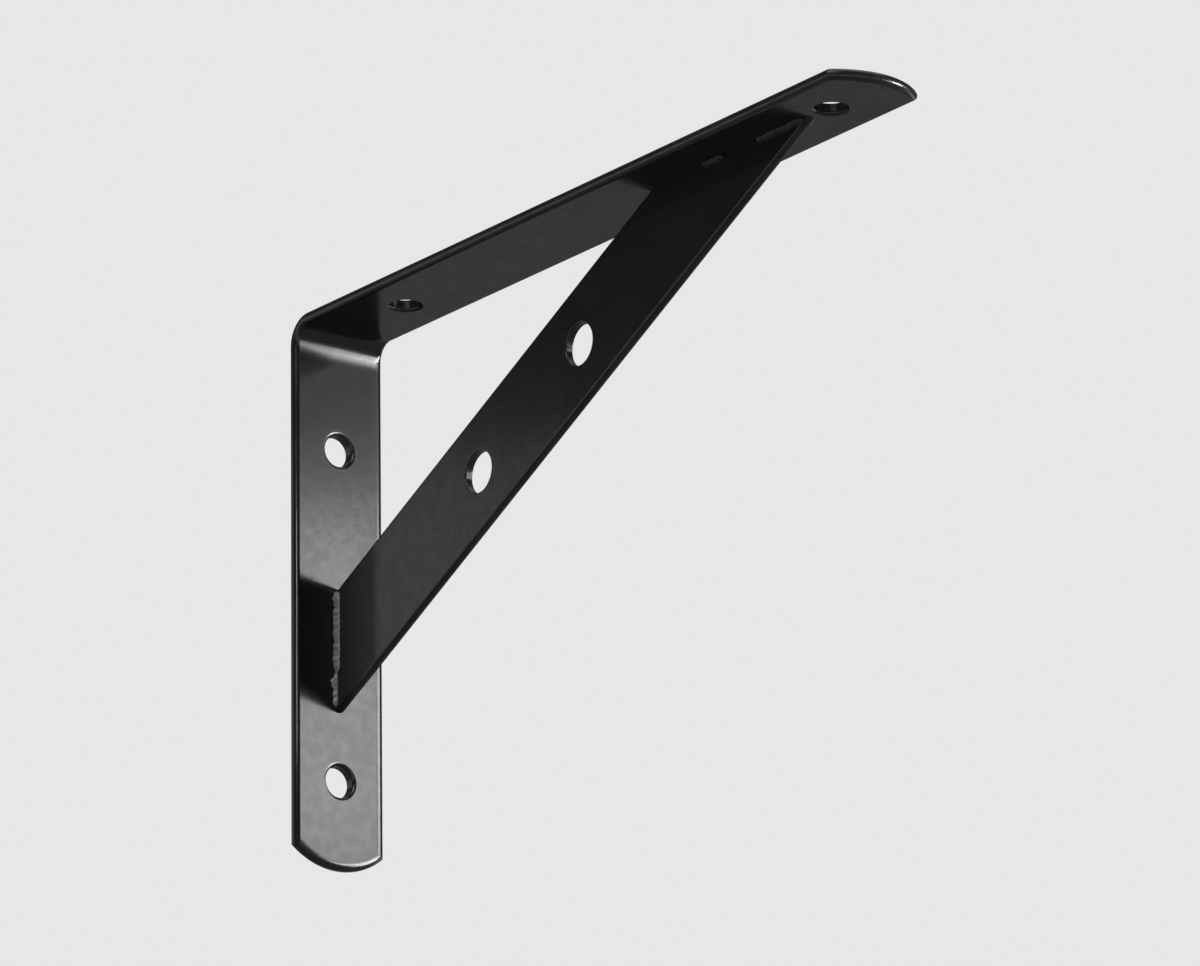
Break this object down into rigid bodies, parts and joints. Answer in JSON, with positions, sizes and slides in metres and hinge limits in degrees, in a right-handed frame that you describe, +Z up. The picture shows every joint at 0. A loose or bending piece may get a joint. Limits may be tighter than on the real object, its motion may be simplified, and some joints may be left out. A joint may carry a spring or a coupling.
{
  "type": "shelf bracket",
  "caption": "Black welded steel shelf bracket: a flat bar bent to a right angle with rounded ends, braced by a diagonal bar set on edge.",
  "frame": {"origin": "on the wall face of the drop arm, midway between its two screw holes", "axes": "+Y goes into the wall, +Z is up towards the shelf, X runs across the bar"},
  "size_m": [0.03, 0.2515, 0.1589],
  "materials": {
    "enamel": "semi-gloss black enamel over steel",
    "weld": "weld bead under thin black enamel"
  },
  "bodies": {
    "root": {"angle_strip": "enamel", "diagonal_brace": "enamel", "foot_weld_left": "weld", "foot_weld_right": "weld", "arm_weld_left": "weld", "arm_weld_right": "weld", "arm_tack_left": "weld", "arm_tack_right": "weld"}
  },
  "joints": []
}
